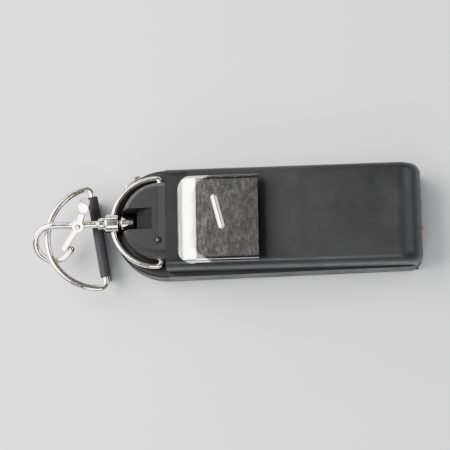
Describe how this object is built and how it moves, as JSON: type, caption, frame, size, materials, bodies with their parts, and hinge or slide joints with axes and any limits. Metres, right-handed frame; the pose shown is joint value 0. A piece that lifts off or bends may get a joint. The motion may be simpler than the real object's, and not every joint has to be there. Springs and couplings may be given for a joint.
{
  "type": "wireless bodypack transmitter",
  "caption": "Slim bodypack transmitter with a sprung belt clip, battery door, microphone socket, carrying bail and swivel snap hook.",
  "frame": {"origin": "centre of the front face that the pack rests on", "axes": "+Z out of the back with the belt clip, +X towards the battery door end, -X towards the cap with bail and snap hook"},
  "size_m": [0.1679, 0.0527, 0.0345],
  "materials": {
    "shell": "fine grain",
    "cap": "fine grain",
    "steel": "polished nickel",
    "clip": "dark polished",
    "screw": "satin",
    "webbing": "woven",
    "rubber": "matt",
    "window": "clear",
    "display": "grey",
    "key": "satin",
    "lamp": "clear",
    "board": "solder mask",
    "chip": "matt",
    "contact": "bright",
    "shield": "tinned",
    "cell": "printed sleeve",
    "post": "plain"
  },
  "bodies": {
    "case": {"front_shell": "shell", "back_shell": "shell", "seam_gasket": "rubber", "top_cap": "cap", "status_lamp": "lamp", "mic_jack": "screw", "mic_jack_nut": "screw", "charge_contacts": "contact", "clip_base": "clip", "clip_pin": "screw", "clip_screws": "screw", "clip_spring": "screw", "display_window": "window", "display_panel": "display", "battery_cell_1": "cell", "battery_cell_2": "cell", "contacts_near": "contact", "contacts_far": "contact", "main_board": "board", "board_posts": "post", "radio_shield": "shield", "board_chips": "chip", "case_screws": "screw"},
    "clip": {"clip_plate": "clip"},
    "bail": {"bail": "steel"},
    "snap": {"snap_hook": "steel", "trigger_pin": "screw"},
    "trigger": {"trigger": "steel"},
    "ring": {"strap_ring": "steel", "strap_tab": "webbing"},
    "key_one": {"key_1": "key"},
    "key_two": {"key_2": "key"},
    "key_three": {"key_3": "key"},
    "switch": {"side_switch": "key"},
    "door": {"battery_door": "shell"}
  },
  "joints": [
    {"name": "clip_hinge", "type": "hinge", "parent": "case", "child": "clip", "pos_m": [-0.028, -0.002, 0.0303], "axis": [0, -1, 0], "range_deg": [0, 14], "stiffness_Nm_per_rad": 0.25, "springref_deg": -11.46},
    {"name": "bail_hinge", "type": "hinge", "parent": "case", "child": "bail", "pos_m": [-0.0448, 0, 0.017], "axis": [0, 1, 0], "range_deg": [0, 95]},
    {"name": "snap_swivel", "type": "hinge", "parent": "bail", "child": "snap", "pos_m": [-0.069, 0, 0.017], "axis": [1, 0, 0], "continuous": true},
    {"name": "trigger_hinge", "type": "hinge", "parent": "snap", "child": "trigger", "pos_m": [-0.0806, 0, 0.017], "axis": [0, 0.4633, -0.8862], "range_deg": [0, 20], "stiffness_Nm_per_rad": 0.03, "springref_deg": -17.19},
    {"name": "ring_swing", "type": "hinge", "parent": "snap", "child": "ring", "pos_m": [-0.0924, -0.015, 0.0134], "axis": [-0.159, 0.9873, 0], "range_deg": [0, 90]},
    {"name": "key_press_1", "type": "slide", "parent": "case", "child": "key_one", "axis": [0, 0, 1], "range_m": [0, 0.0006], "stiffness_N_per_m": 600, "springref_m": -0.0005},
    {"name": "key_press_2", "type": "slide", "parent": "case", "child": "key_two", "axis": [0, 0, 1], "range_m": [0, 0.0006], "stiffness_N_per_m": 600, "springref_m": -0.0005},
    {"name": "key_press_3", "type": "slide", "parent": "case", "child": "key_three", "axis": [0, 0, 1], "range_m": [0, 0.0006], "stiffness_N_per_m": 600, "springref_m": -0.0005},
    {"name": "switch_slide", "type": "slide", "parent": "case", "child": "switch", "axis": [1, 0, 0], "range_m": [0, 0.004]},
    {"name": "door_slide", "type": "slide", "parent": "case", "child": "door", "axis": [1, 0, 0], "range_m": [0, 0.06]}
  ]
}
